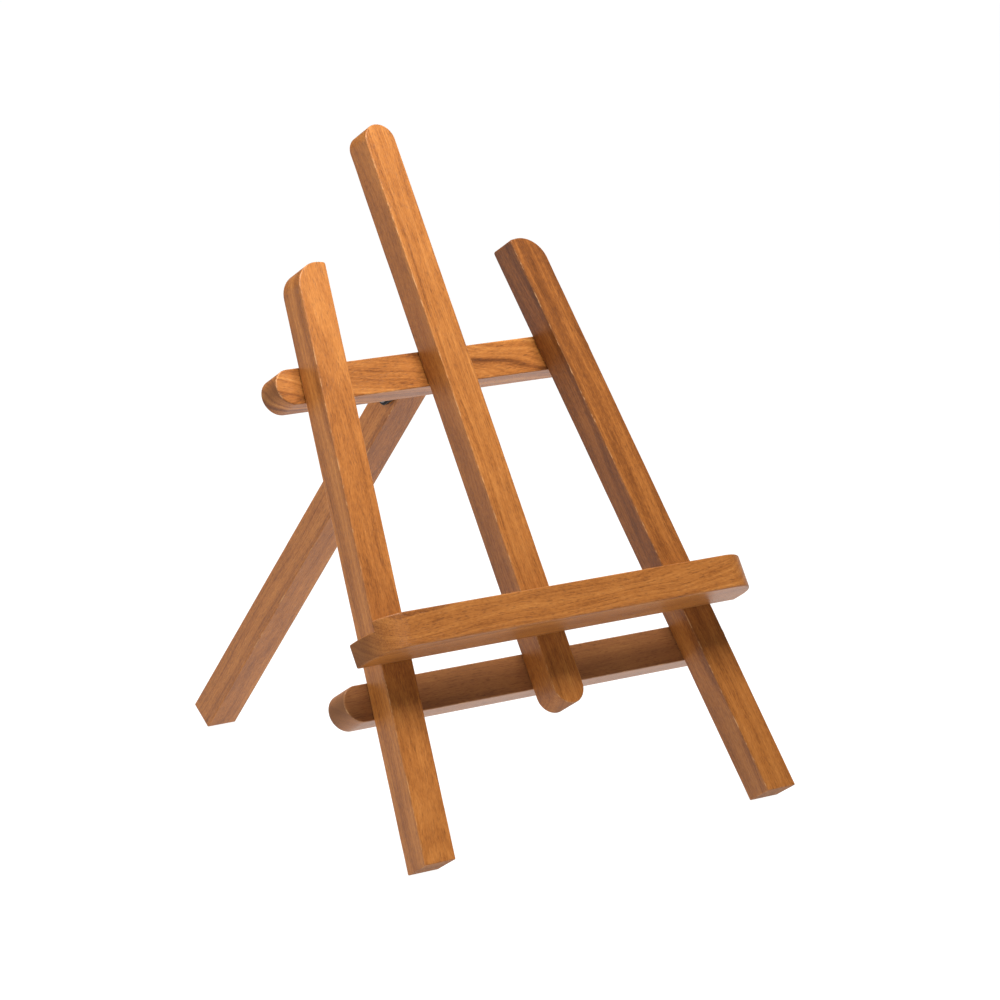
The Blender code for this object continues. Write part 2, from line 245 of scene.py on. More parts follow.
def local_box(node, matrix):
    """A CAD node's lowest and highest corners, measured in the frame that the matrix gives."""
    inverse = matrix.inverted()
    points = [inverse @ vertex.co for vertex in frame["nodes"][node].data.vertices]
    low = Vector(min(point[axis] for point in points) for axis in range(3))
    high = Vector(max(point[axis] for point in points) for axis in range(3))
    return low, high


def pivot_matrix():
    """The rear leg's own frame: its origin on the rivet, Z up the leg."""
    joint = frame["joints"][0]
    return Matrix.Translation(joint["pos_m"]) @ Matrix.Rotation(REAR_LEG_SLOPE, 4, "X")


FRONT = frame_matrix()
PIVOT = pivot_matrix()
ALONG_X = Matrix.Rotation(math.radians(90), 4, "Y")


# ---------------------------------------------------------------- mesh tools


def arc(centre_x, centre_z, radius, start, end):
    """Points along an arc, with both of its ends. Angles are in degrees."""
    turn = math.radians(end - start)
    steps = max(2, round(abs(turn) / ARC_STEP))
    points = []
    for i in range(steps + 1):
        angle = math.radians(start) + turn * i / steps
        points.append((centre_x + radius * math.cos(angle), centre_z + radius * math.sin(angle)))
    return points


def run(start, end, step=WEAR_STEP):
    """Points along a straight run, with its start and without its end."""
    pieces = max(1, math.ceil(math.dist(start, end) / step))
    shares = [i / pieces for i in range(pieces)]
    return [(start[0] + (end[0] - start[0]) * s, start[1] + (end[1] - start[1]) * s) for s in shares]


def with_wear_points(outline):
    """The outline with points added along its straight runs, so that its arrises can be worn."""
    return [point for start, end in zip(outline, outline[1:] + outline[:1]) for point in run(start, end)]


def prism(outline, depth):
    """A bmesh of an outline drawn counter-clockwise in X and Z, extruded from Y = 0 to Y = depth."""
    shape = bmesh.new()
    front = shape.faces.new([shape.verts.new((x, 0, z)) for x, z in outline])
    swept = bmesh.ops.extrude_face_region(shape, geom=[front])
    moved = [part for part in swept["geom"] if isinstance(part, bmesh.types.BMVert)]
    bmesh.ops.translate(shape, verts=moved, vec=(0, depth, 0))
    bmesh.ops.recalc_face_normals(shape, faces=shape.faces)
    return shape


def bevel(shape, edges, radius, rows=ARRIS_ROWS):
    return bmesh.ops.bevel(
        shape,
        geom=list(edges),
        offset=radius,
        segments=rows,
        profile=0.5,
        affect="EDGES",
        clamp_overlap=True,
    )


def round_arrises(shape, radius=ARRIS_RADIUS):
    """Round the edges around the prism's front and back faces."""
    shape.edges.ensure_lookup_table()
    flat = [edge for edge in shape.edges if abs(edge.verts[0].co.y - edge.verts[1].co.y) < NO_LENGTH]
    bevel(shape, flat, radius)


def saw_off(shape, point, outward):
    """Remove everything beyond a plane, close the sawn end and take its sharpness off."""
    everything = list(shape.verts) + list(shape.edges) + list(shape.faces)
    sliced = bmesh.ops.bisect_plane(
        shape, geom=everything, plane_co=point, plane_no=outward, clear_outer=True
    )
    rim = [part for part in sliced["geom_cut"] if isinstance(part, bmesh.types.BMEdge)]
    bmesh.ops.contextual_create(shape, geom=rim)
    bmesh.ops.recalc_face_normals(shape, faces=shape.faces)
    bevel(shape, [edge for edge in rim if edge.is_valid], SAWN_EDGE_RADIUS, SAWN_EDGE_ROWS)


def hollow(point, scale, seed=0.0):
    """How deep the wear is at a point, from 0 to about 1: small dents, and some longer ones."""
    place = Vector([value * rate for value, rate in zip(point, scale)]) + Vector((seed, 0, 0))
    dent = max(0.0, noise.noise(place) - DENT_LEVEL)
    long_dent = max(0.0, noise.noise(place * LONG_DENT_RATE) - LONG_DENT_LEVEL)
    return dent + long_dent


def wear(shape, depth, radius, seed):
    """Press small hollows into the arrises and note each vertex's share of arris for the material."""
    layer = shape.verts.layers.float.new("arris")
    shape.normal_update()
    for vertex in shape.verts:
        share = min(vertex.co.y, depth - vertex.co.y) / radius
        if 0.001 < share < 0.999:
            vertex[layer] = math.sin(math.pi * share)
            depth_here = hollow(vertex.co, WEAR_SCALE, seed) * WEAR_DEPTH * vertex[layer]
            vertex.co -= vertex.normal * depth_here


def turned(profile, sides=TURNED_SIDES):
    """A bmesh turned about Z from (radius, height) points, which start and end on the axis."""
    shape = bmesh.new()
    first = shape.verts.new((0, 0, profile[0][1]))
    turns = [2 * math.pi * i / sides for i in range(sides)]
    rings = [
        [shape.verts.new((radius * math.cos(t), radius * math.sin(t), height)) for t in turns]
        for radius, height in profile[1:-1]
    ]
    last = shape.verts.new((0, 0, profile[-1][1]))
    close_rings(shape, first, rings, last)
    return shape


def close_rings(shape, first, rings, last):
    """Skin a stack of rings of vertices between its two end points."""
    sides = len(rings[0])
    for i in range(sides):
        j = (i + 1) % sides
        shape.faces.new((first, rings[0][i], rings[0][j]))
        shape.faces.new((last, rings[-1][j], rings[-1][i]))
        for upper, lower in zip(rings, rings[1:]):
            shape.faces.new((upper[i], lower[i], lower[j], upper[j]))
    bmesh.ops.recalc_face_normals(shape, faces=shape.faces)


def new_object(name, shape, matrix):
    """An object from a bmesh, at a place in the row frame."""
    mesh = bpy.data.meshes.new(name)
    shape.to_mesh(mesh)
    shape.free()
    mesh.shade_smooth()
    made = bpy.data.objects.new(name, mesh)
    bpy.context.scene.collection.objects.link(made)
    made.matrix_world = matrix
    return made


def draw_in_row_frame(thing):
    """Move a settled piece's place into its mesh. Its own coordinates stay with it for its material."""
    mesh = thing.data
    own = mesh.attributes.new("own_place", "FLOAT_VECTOR", "POINT")
    own.data.foreach_set("vector", [value for vertex in mesh.vertices for value in vertex.co])
    end = mesh.attributes.new("end_grain", "FLOAT", "POINT")
    end.data.foreach_set("value", [abs(vertex.normal.z) for vertex in mesh.vertices])
    mesh.transform(thing.matrix_world)
    thing.matrix_world = Matrix.Identity(4)


def boolean(thing, cutter, operation="DIFFERENCE"):
    modifier = thing.modifiers.new("cut", "BOOLEAN")
    modifier.operation = operation
    modifier.solver = "EXACT"
    modifier.object = cutter


def settle(thing, *cutters):
    """Apply the modifiers, drop the cutters and keep the flat faces flat under smooth shading."""
    if not thing.modifiers.get("normals"):
        thing.modifiers.new("normals", "WEIGHTED_NORMAL").keep_sharp = True
    thing.data.set_sharp_from_angle(angle=SHARP_ANGLE)
    bpy.context.view_layer.update()
    graph = bpy.context.evaluated_depsgraph_get()
    mesh = bpy.data.meshes.new_from_object(thing.evaluated_get(graph))
    thing.modifiers.clear()
    thing.data = mesh
    for cutter in cutters:
        bpy.data.objects.remove(cutter)
    return thing


# ---------------------------------------------------------------- screws and their holes


def screw_places():
    """Each screw's head centre in the front frame, its head radius and its length."""
    places = {}
    for node in frame["nodes"]:
        if "screw" in node:
            low, high = local_box(node, FRONT)
            head = Vector(((low.x + high.x) / 2, high.y, (low.z + high.z) / 2))
            places[node] = (head, (high.x - low.x) / 2, high.y - low.y)
    return places


SCREWS = screw_places()


def driven(head):
    """Placed with the head's face at that point of the front frame, pointing forwards."""
    return FRONT @ Matrix.Translation(head) @ Matrix.Rotation(math.radians(-90), 4, "X")


def hole_cutter(node):
    """The countersunk hole of one screw, turned so that the rims in a row don't line up exactly."""
    head, radius, length = SCREWS[node]
    wide = radius + CLEARANCE
    narrow = SHANK_RADIUS + CLEARANCE
    profile = [
        (0, HEAD_HEIGHT),
        (wide, HEAD_HEIGHT),
        (wide, 0),
        (narrow, -HEAD_HEIGHT - CLEARANCE),
        (narrow, -length - CLEARANCE),
        (0, -length - CLEARANCE),
    ]
    turn = Matrix.Rotation(head.x * HOLE_TURN_RATE, 4, "Z")
    return new_object(node + "_hole", turned(profile, HOLE_SIDES), driven(head) @ turn)


def drill(thing, *nodes):
    """Cut the screws' holes through a piece and settle it."""
    cutters = [hole_cutter(node) for node in nodes]
    for cutter in cutters:
        boolean(thing, cutter)
    return settle(thing, *cutters)


def screw_shape(radius, length):
    """A countersunk wood screw with its thread, head up."""
    shape = bmesh.new()
    head_rows = [(radius + change, height) for change, height in HEAD_ROWS] + [(SHANK_RADIUS, -HEAD_HEIGHT)]
    turns = [2 * math.pi * i / THREAD_SIDES for i in range(THREAD_SIDES)]
    rings = [
        [shape.verts.new((wide * math.cos(t), wide * math.sin(t), height)) for t in turns]
        for wide, height in head_rows
    ]
    rows = round((length - HEAD_HEIGHT - SMOOTH_SHANK) / THREAD_PITCH * THREAD_ROWS)
    for row in range(rows):
        depth = HEAD_HEIGHT + SMOOTH_SHANK + THREAD_PITCH / THREAD_ROWS * row
        taper = min(1.0, (length - depth) / TIP_LENGTH)
        ring = []
        for i, t in enumerate(turns):
            phase = (depth / THREAD_PITCH - i / THREAD_SIDES) % 1
            ridge = max(0.0, 1 - abs(phase - 0.5) * 4)
            wide = CORE_RADIUS + (SHANK_RADIUS - CORE_RADIUS) * ridge
            wide *= POINT_SHARE + (1 - POINT_SHARE) * taper
            ring.append(shape.verts.new((wide * math.cos(t), wide * math.sin(t), -depth)))
        rings.append(ring)
    close_rings(shape, shape.verts.new((0, 0, 0)), rings, shape.verts.new((0, 0, -length)))
    return shape


def recess_shape():
    """A cross that narrows downwards, to cut a screw's head."""
    shape = bmesh.new()
    long, wide = RECESS_LENGTH / 2, RECESS_WIDTH / 2
    corners = []
    for turn in range(4):
        cosine, sine = round(math.cos(turn * math.pi / 2)), round(math.sin(turn * math.pi / 2))
        for x, y in ((long, -wide), (long, wide), (wide, wide)):
            corners.append((x * cosine - y * sine, x * sine + y * cosine))
    top = [shape.verts.new((x, y, RECESS_DEPTH)) for x, y in corners]
    bottom = [shape.verts.new((x * RECESS_DRAFT, y * RECESS_DRAFT, -RECESS_DEPTH)) for x, y in corners]
    shape.faces.new(top)
    shape.faces.new(bottom)
    for i, vertex in enumerate(top):
        j = (i + 1) % len(top)
        shape.faces.new((vertex, bottom[i], bottom[j], top[j]))
    bmesh.ops.recalc_face_normals(shape, faces=shape.faces)
    return shape


# ---------------------------------------------------------------- material tools


def add_node(tree, kind, inputs=None, **settings):
    """A shader node with its settings, and its inputs set to values or linked from sockets."""
    made = tree.nodes.new("ShaderNode" + kind)
    for name, value in settings.items():
        setattr(made, name, value)
    for name, value in (inputs or {}).items():
        if isinstance(value, bpy.types.NodeSocket):
            tree.links.new(value, made.inputs[name])
        else:
            made.inputs[name].default_value = value
    return made


def maths(tree, operation, first, second=0.0, third=0.0, clamp=False):
    inputs = {0: first, 1: second, 2: third}
    return add_node(tree, "Math", inputs, operation=operation, use_clamp=clamp).outputs[0]


def vector_maths(tree, operation, first, second=(0, 0, 0)):
    made = add_node(tree, "VectorMath", {0: first, 1: second}, operation=operation)
    return made.outputs["Value" if operation in ("LENGTH", "DOT_PRODUCT") else "Vector"]


def ramp(tree, factor, stops):
    """A colour ramp from (place, colour) stops."""
    made = add_node(tree, "ValToRGB", {"Fac": factor})
    elements = made.color_ramp.elements
    while len(elements) < len(stops):
        elements.new(0.5)
    for element, (place, colour) in zip(elements, stops):
        element.position = place
        element.color = (*colour, 1.0)
    return made.outputs["Color"]


def mix(tree, factor, first, second, blend="MIX"):
    made = tree.nodes.new("ShaderNodeMix")
    made.data_type = "RGBA"
    made.blend_type = blend
    for index, value in ((0, factor), (6, first), (7, second)):
        if isinstance(value, bpy.types.NodeSocket):
            tree.links.new(value, made.inputs[index])
        elif index == 0:
            made.inputs[index].default_value = value
        else:
            made.inputs[index].default_value = (*value, 1.0)
    return made.outputs[2]


def grey(value):
    return (value, value, value)


def stretched_noise(tree, place, scale, detail=2.0, roughness=0.5):
    """Noise with its own scale along each axis."""
    scaled = vector_maths(tree, "MULTIPLY", place, scale)
    inputs = {"Vector": scaled, "Scale": 1.0, "Detail": detail, "Roughness": roughness}
    return add_node(tree, "TexNoise", inputs)


def noise_along(tree, distance, scale, detail, roughness):
    """Noise along one distance, such as from ring to ring."""
    scaled = maths(tree, "MULTIPLY", distance, scale)
    inputs = {"W": scaled, "Scale": 1.0, "Detail": detail, "Roughness": roughness}
    return add_node(tree, "TexNoise", inputs, noise_dimensions="1D").outputs["Fac"]


def stepped(tree, value, low, high, kind="LINEAR"):
    """0 below one value and 1 above the other, with a straight or soft step between them."""
    inputs = {"Value": value, "From Min": low, "From Max": high}
    return add_node(tree, "MapRange", inputs, interpolation_type=kind).outputs["Result"]


def attribute(tree, name, output="Fac"):
    return add_node(tree, "Attribute", attribute_name=name).outputs[output]


def height_of(tree, place):
    return add_node(tree, "SeparateXYZ", {"Vector": place}).outputs["Z"]


def bumped(tree, height, strength, distance):
    inputs = {"Height": height, "Strength": strength, "Distance": distance}
    return add_node(tree, "Bump", inputs).outputs["Normal"]


def set_inputs(tree, node, **inputs):
    """Set or link a node's inputs. Their names are written with underscores for spaces."""
    for name, value in inputs.items():
        socket = node.inputs[name.replace("_", " ")]
        if isinstance(value, bpy.types.NodeSocket):
            tree.links.new(value, socket)
        else:
            socket.default_value = value


def new_material(name):
    made = bpy.data.materials.new(name)
    made.use_nodes = True
    tree = made.node_tree
    return made, tree, tree.nodes["Principled BSDF"]


def own_millimetres(tree):
    """The piece's own coordinates in millimetres, Z along its grain or its axis."""
    inputs = {0: attribute(tree, "own_place", "Vector"), "Scale": 1 / MILLIMETRE}
    return add_node(tree, "VectorMath", inputs, operation="SCALE").outputs["Vector"]


# ---------------------------------------------------------------- teak


def teak(
    name,
    seed,
    pith,
    tilt=0.0,
    streaks=1.0,
    tone=1.0,
    swirl=1.0,
    spacing=1.0,
    fade=0.0,
    dull=0.0,
    handled=1.0,
):
    """Oiled teak, grown around a pith at (x, y) millimetres from the stick's middle.

    tilt is how far the rings drift from the stick's length, swirl how far they wander and spacing how
    far apart they lie. streaks is the figure's contrast, and fade is how much paler the wood gets for
    each millimetre up the stick. dull takes the orange out of it, and handled is its wear.
    """
    made, tree, shader = new_material(name + "_teak")
    place = vector_maths(tree, "ADD", own_millimetres(tree), (0, 0, seed * SEED_SPACING))

    # The grain wanders slowly along the stick.
    wander = stretched_noise(tree, place, *WANDER).outputs["Color"]
    wander = vector_maths(tree, "SUBTRACT", wander, grey(0.5))
    wander = vector_maths(tree, "MULTIPLY", wander, (WANDER_REACH * swirl, WANDER_REACH * swirl, 0.0))
    grain = vector_maths(tree, "ADD", place, wander)

    # Distance from the pith gives the growth rings.
    across = vector_maths(tree, "MULTIPLY", grain, (1.0, 1.0, 0.0))
    across = vector_maths(tree, "SUBTRACT", across, (*pith, 0.0))
    radius = vector_maths(tree, "LENGTH", across)
    rings = maths(tree, "MULTIPLY_ADD", height_of(tree, grain), tilt, radius)
    rings = maths(tree, "DIVIDE", rings, spacing)
    broad = stepped(tree, noise_along(tree, rings, *BROAD_RINGS), *BROAD_STEP, "SMOOTHSTEP")
    bands = noise_along(tree, rings, *BANDS)
    lines = stepped(tree, noise_along(tree, rings, *LINES), *LINE_STEP, "SMOOTHSTEP")

    fibres = stretched_noise(tree, grain, *FIBRES).outputs["Fac"]
    mottle = stretched_noise(tree, grain, *MOTTLE).outputs["Fac"]
    speckle = stretched_noise(tree, grain, *SPECKLE).outputs["Fac"]
    pores = stepped(tree, stretched_noise(tree, grain, *PORES).outputs["Fac"], *PORE_STEP)

    # Dark to light, as one sum of each figure's distance from its own middle.
    level = MEDIUM_TONE
    for figure, middle, share in (
        (broad, 0.5, BROAD_SHARE * streaks),
        (bands, 0.5, BAND_SHARE * streaks),
        (lines, 0.75, LINE_SHARE * streaks),
        (fibres, 0.5, FIBRE_SHARE),
        (mottle, 0.5, MOTTLE_SHARE),
        (speckle, 0.5, SPECKLE_SHARE),
        (height_of(tree, own_millimetres(tree)), 0.0, fade),
    ):
        level = maths(tree, "MULTIPLY_ADD", maths(tree, "SUBTRACT", figure, middle), share, level)
    wood = ramp(tree, level, TEAK_TONES)
    wood = mix(tree, 1.0, wood, grey(tone), "MULTIPLY")
    wood = mix(tree, dull, wood, DULL_TEAK)
    wood = mix(tree, maths(tree, "MULTIPLY", pores, PORE_SHARE), wood, PORE_COLOUR)

    # End grain drinks more oil.
    end = maths(tree, "POWER", attribute(tree, "end_grain"), 4.0)
    wood = mix(tree, maths(tree, "MULTIPLY", end, END_GRAIN_SHARE), wood, END_GRAIN_COLOUR)

    # Handling wears the oil off the arrises, in patches. A thin pale line along every arris, patches or not, is
    # partly that wear and partly a painted highlight on the rounded edge.
    patches = stepped(tree, stretched_noise(tree, place, *WORN_PATCHES).outputs["Fac"], *WORN_STEP)
    worn_and_highlight = maths(tree, "MULTIPLY_ADD", patches, WORN_SHARE * handled, ARRIS_WEAR_AND_HIGHLIGHT)
    worn_and_highlight = maths(tree, "MULTIPLY", worn_and_highlight, attribute(tree, "arris"), clamp=True)
    wood = mix(tree, worn_and_highlight, wood, WORN_AND_HIGHLIGHT_COLOUR)

    relief = maths(tree, "MULTIPLY_ADD", pores, PORE_RELIEF, maths(tree, "MULTIPLY", fibres, FIBRE_RELIEF))
    rough = WOOD_ROUGHNESS
    for figure, share in ((fibres, FIBRE_ROUGHNESS), (worn_and_highlight, WORN_ROUGHNESS), (end, END_ROUGHNESS)):
        rough = maths(tree, "MULTIPLY_ADD", figure, share, rough)
    normal = bumped(tree, relief, WOOD_RELIEF_STRENGTH, WOOD_RELIEF)
    set_inputs(tree, shader, Base_Color=wood, Roughness=rough, Normal=normal)
    set_inputs(tree, shader, IOR=WOOD_IOR, Specular_IOR_Level=WOOD_GLOSS)
    return made


# ---------------------------------------------------------------- metals


def black_paint():
    """Satin black paint on sheet steel, with a fine orange peel and rubbed edges."""
    made, tree, shader = new_material("black_bracket_paint")
    place = own_millimetres(tree)
    peel = stretched_noise(tree, place, *PEEL).outputs["Fac"]
    dust = stretched_noise(tree, place, *DUST).outputs["Fac"]

    # Paint rubs off where the surface turns sharply.
    edge = add_node(tree, "Bevel", {"Radius": RUBBED_EDGE_RADIUS}, samples=4).outputs["Normal"]
    flatness = vector_maths(tree, "DOT_PRODUCT", edge, add_node(tree, "NewGeometry").outputs["Normal"])
    turn = maths(tree, "SUBTRACT", 1.0, flatness)
    rubbed = maths(tree, "MULTIPLY", turn, maths(tree, "MULTIPLY", dust, 4.0), clamp=True)

    colour = mix(tree, rubbed, mix(tree, dust, BLACK_PAINT, DUSTY_PAINT), BARE_STEEL)
    metal = maths(tree, "MULTIPLY", rubbed, 0.8)
    rough = maths(tree, "MULTIPLY_ADD", dust, 0.25, PAINT_ROUGHNESS)
    normal = bumped(tree, peel, 0.2, PAINT_PEEL)
    set_inputs(tree, shader, Base_Color=colour, Metallic=metal, Roughness=rough, Normal=normal)
    set_inputs(tree, shader, Specular_IOR_Level=PAINT_GLOSS)
    return made


def plated_steel(name, colour, roughness):
    """Plated steel with fine turning marks about Z and slight tarnish."""
    made, tree, shader = new_material(name)
    place = own_millimetres(tree)
    across = vector_maths(tree, "LENGTH", vector_maths(tree, "MULTIPLY", place, (1.0, 1.0, 0.0)))
    marks = noise_along(tree, across, *LATHE_MARKS)
    tarnish = stretched_noise(tree, place, *TARNISH_CLOUDS).outputs["Fac"]
    darker = tuple(channel * TARNISH for channel in colour)
    plating = mix(tree, tarnish, colour, darker)
    rough = maths(tree, "MULTIPLY_ADD", tarnish, 0.3, roughness)
    normal = bumped(tree, marks, 0.15, TURNING_MARKS)
    set_inputs(tree, shader, Base_Color=plating, Metallic=1.0, Roughness=rough, Normal=normal)
    return made


# ---------------------------------------------------------------- the wooden pieces


def show(piece, node, body, look):
    """Give a finished piece its material and its body, and hide the CAD node that it stands for."""
    draw_in_row_frame(piece)
    piece.data.materials.clear()
    piece.data.materials.append(look)
    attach(piece, body)
    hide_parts(node)
    return piece


def timber(node, outline, depth, matrix, seed, saw=None):
    """A stick from its outline, with rounded and worn arrises. saw is the plane of a sawn end, if any."""
    shape = prism(with_wear_points(outline), depth)
    round_arrises(shape)
    wear(shape, depth, ARRIS_RADIUS, seed)
    if saw:
        saw_off(shape, *saw)
    return new_object(node + "_piece", shape, matrix)


def outer_leg(side, look, *holes):
    """A splayed leg with a rounded outer shoulder and a level foot."""
    node = "left_leg" if side < 0 else "right_leg"
    base = FRONT @ Matrix.Rotation(-side * LEG_SPLAY, 4, "Y")
    low, high = local_box(node, base)
    inner, outer = sorted((low.x * side, high.x * side))
    half = (outer - inner) / 2
    length = high.z
    middle = side * (inner + outer) / 2
    matrix = base @ Matrix.Translation((middle, 0, 0))
    floor_rise = -middle * math.sin(side * LEG_SPLAY) / math.cos(LEG_SPLAY)
    shoulder = arc(half - LEG_SHOULDER_RADIUS, length - LEG_SHOULDER_RADIUS, LEG_SHOULDER_RADIUS, 0, 90)
    corner = arc(CORNER_RADIUS - half, length - CORNER_RADIUS, CORNER_RADIUS, 90, 180)
    below = floor_rise - FRONT_SAW_ALLOWANCE
    outline = [(-half, below), (half, below)] + shoulder + corner
    level = (-math.sin(LEG_SPLAY), 0, -math.cos(LEG_SPLAY))
    if side < 0:
        outline = [(-x, z) for x, z in reversed(outline)]
        level = (-level[0], 0, level[2])
    leg = timber(node, outline, high.y - low.y, matrix, WEAR_SEEDS[node], ((0, 0, floor_rise), level))
    show(drill(leg, *holes), node, "front_frame", look)


def upright(look, *holes):
    """The tallest stick, with a half-round at each end."""
    node = "centre_upright"
    low, high = local_box(node, FRONT)
    half = (high.x - low.x) / 2
    outline = arc(0, low.z + half, half, 180, 360) + arc(0, high.z - half - TOP_MARGIN, half, 0, 180)
    stick = timber(node, outline, high.y - low.y, FRONT, WEAR_SEEDS[node])
    show(drill(stick, *holes), node, "front_frame", look)


def crossbar(node, look, *holes):
    """A bar with half-round ends, its grain across the frame."""
    low, high = local_box(node, FRONT)
    half = (high.z - low.z) / 2
    reach = (high.x - low.x) / 2 - half
    outline = arc(0, -reach, half, 180, 360) + arc(0, reach, half, 0, 180)
    middle = (low.z + high.z) / 2
    matrix = FRONT @ Matrix.Translation((0, low.y, middle)) @ ALONG_X
    bar = timber(node, outline, high.y - low.y, matrix, middle * CROSSBAR_SEED_RATE)
    show(drill(bar, *holes), node, "front_frame", look)


def rivet_hole(name, reach, matrix):
    """A cutter for the rivet's hole, reaching that far to each side."""
    radius = SHANK_RADIUS + CLEARANCE
    profile = [(0, reach), (radius, reach), (radius, -reach), (0, -reach)]
    return new_object(name, turned(profile, HOLE_SIDES), matrix)


def rear_leg(look):
    """The prop. Its top end lies flat on the bracket when the stand is open."""
    node = "rear_leg"
    low, high = local_box(node, PIVOT)
    half = (high.y - low.y) / 2
    width = high.x - low.x
    pivot = FRONT.inverted() @ PIVOT.translation
    clear_depth = pivot.y - local_box(node, FRONT)[0].y
    end_slope = math.pi / 2 - (FRONT.inverted() @ PIVOT).to_euler().x
    middle_top = clear_depth / math.cos(end_slope)
    centre_x = half - REAR_LEG_TOP_RADIUS
    centre_z = middle_top + centre_x * math.tan(end_slope) - REAR_LEG_TOP_RADIUS / math.cos(end_slope)
    corner = arc(centre_x, centre_z, REAR_LEG_TOP_RADIUS, 0, 90 + math.degrees(end_slope))
    below = low.z - REAR_SAW_ALLOWANCE
    outline = [(-half, below), (half, below)] + corner + [(-half, middle_top - half * math.tan(end_slope))]
    matrix = PIVOT @ Matrix.Translation((width / 2, 0, 0)) @ Matrix.Rotation(math.radians(90), 4, "Z")
    leg = timber(node, outline, width, matrix, WEAR_SEEDS[node], ((0, 0, low.z), (0, 0, -1)))
    hole = rivet_hole("pivot_hole", width, PIVOT @ ALONG_X)
    boolean(leg, hole)
    show(settle(leg, hole), node, "rear_leg", look)


def shelf(look, *holes):
    """The plate's ledge with its lip, its two front corners rounded in plan.

    Drawn like the sticks, with Z along the shelf, then X down and Y from the front to the back.
    """
    node = "shelf"
    low, high = local_box(node, FRONT)
    reach = (high.x - low.x) / 2
    depth = high.y - low.y
    height = high.z - low.z
    corner_z = reach - SHELF_CORNER_RADIUS
    lip_turn = math.degrees(math.asin((SHELF_CORNER_RADIUS - LIP_THICKNESS) / SHELF_CORNER_RADIUS))
    # Plan points as (z, y): back edge, then the rounded front from the right to the left.
    right_side = arc(corner_z, SHELF_CORNER_RADIUS, SHELF_CORNER_RADIUS, 0, -lip_turn)
    right_front = arc(corner_z, SHELF_CORNER_RADIUS, SHELF_CORNER_RADIUS, -lip_turn, -90)
    left_front = [(-z, y) for z, y in reversed(right_front)]
    left_side = [(-z, y) for z, y in reversed(right_side)]
    lip = right_front + run(right_front[-1], left_front[0])[1:] + left_front
    ledge = [(-reach, depth), (reach, depth)] + right_side[:-1]
    ledge_after = left_side[1:]

    shape = bmesh.new()

    def row(points, level):
        return [shape.verts.new((level, y, z)) for z, y in points]

    # X is down, so the shelf's bottom is at X = height and the lip's top at X = 0.
    step = height - LEDGE_HEIGHT
    whole = lip + ledge_after + ledge
    bottom = row(whole, height)
    middle = row(whole, step)
    top = row(lip, 0.0)
    count = len(lip)
    shape.faces.new(bottom)
    shape.faces.new(top)
    shape.faces.new(middle[count - 1:] + middle[:1])
    shape.faces.new((middle[0], middle[count - 1], top[-1], top[0]))
    for i in range(len(whole)):
        j = (i + 1) % len(whole)
        shape.faces.new((bottom[i], bottom[j], middle[j], middle[i]))
    for i in range(count - 1):
        shape.faces.new((middle[i], middle[i + 1], top[i + 1], top[i]))
    bmesh.ops.recalc_face_normals(shape, faces=shape.faces)
    edges = [e for e in shape.edges if e.is_convex and e.calc_face_angle() > SHELF_EDGE_ANGLE]
    made = bevel(shape, edges, SHELF_ARRIS_RADIUS, SHELF_ARRIS_ROWS)
    layer = shape.verts.layers.float.new("arris")
    rounded = set(made["faces"])
    border = {vertex for face in shape.faces if face not in rounded for vertex in face.verts}
    arris = [vertex for vertex in made["verts"] if vertex.is_valid and vertex not in border]
    shape.normal_update()
    for vertex in arris:
        vertex[layer] = 1.0
        vertex.co -= vertex.normal * hollow(vertex.co, SHELF_WEAR_SCALE) * SHELF_WEAR_DEPTH
    matrix = FRONT @ Matrix.Translation((0, low.y, high.z)) @ ALONG_X
    block = new_object(node + "_piece", shape, matrix)
    show(drill(block, *holes), node, "front_frame", look)


# ---------------------------------------------------------------- the metal pieces


def bracket(look):
    """A U of sheet steel with rounded bends, round-ended cheeks and two countersunk holes."""
    node = "hinge_bracket"
    low, high = local_box(node, FRONT)
    half_width = high.x
    height = high.z - low.z
    middle = (low.z + high.z) / 2
    inner = BEND_RADIUS - SHEET
    # Plan of the U, drawn in X and depth with the web at depth 0.
    outside = arc(BEND_RADIUS - half_width, BEND_RADIUS, BEND_RADIUS, 180, 270)
    outside += arc(half_width - BEND_RADIUS, BEND_RADIUS, BEND_RADIUS, 270, 360)
    reach = high.y - low.y
    inside = arc(half_width - BEND_RADIUS, BEND_RADIUS, inner, 360, 270)
    inside += arc(BEND_RADIUS - half_width, BEND_RADIUS, inner, 270, 180)
    plan = outside + [(half_width, reach), (half_width - SHEET, reach)]
    plan += inside + [(SHEET - half_width, reach), (-half_width, reach)]
    upright_turn = Matrix.Rotation(math.radians(-90), 4, "X")
    shape = prism(plan, height)
    bmesh.ops.transform(shape, matrix=upright_turn, verts=shape.verts)
    bmesh.ops.translate(shape, vec=(0, 0, height / 2), verts=shape.verts)
    body = new_object(node + "_piece", shape, FRONT @ Matrix.Translation((0, low.y, middle)))

    # Only what lies inside the cheeks' side view stays.
    span = half_width * 2
    cheek_end = arc(reach - height / 2, 0, height / 2, -90, 90)
    side_view = [(-OVERSHOOT, -height / 2)] + cheek_end + [(-OVERSHOOT, height / 2)]
    outline = prism(side_view, span * 2)
    quarter_turn = Matrix.Rotation(math.radians(90), 3, "Z")
    bmesh.ops.translate(outline, vec=(0, -span, 0), verts=outline.verts)
    bmesh.ops.rotate(outline, cent=(0, 0, 0), matrix=quarter_turn, verts=outline.verts)
    keeper = new_object("bracket_outline", outline, body.matrix_world.copy())
    boolean(body, keeper, "INTERSECT")

    hole = rivet_hole("rivet_hole", span, rivet_matrix())
    boolean(body, hole)
    cutters = [hole_cutter("bracket_screw_left"), hole_cutter("bracket_screw_right")]
    for cutter in cutters:
        boolean(body, cutter)
    softened = body.modifiers.new("edges", "BEVEL")
    softened.width = SHEET_EDGE_RADIUS
    softened.segments = SHEET_EDGE_ROWS
    softened.limit_method = "ANGLE"
    softened.angle_limit = SHARP_ANGLE
    show(settle(body, keeper, hole, *cutters), node, "front_frame", look)


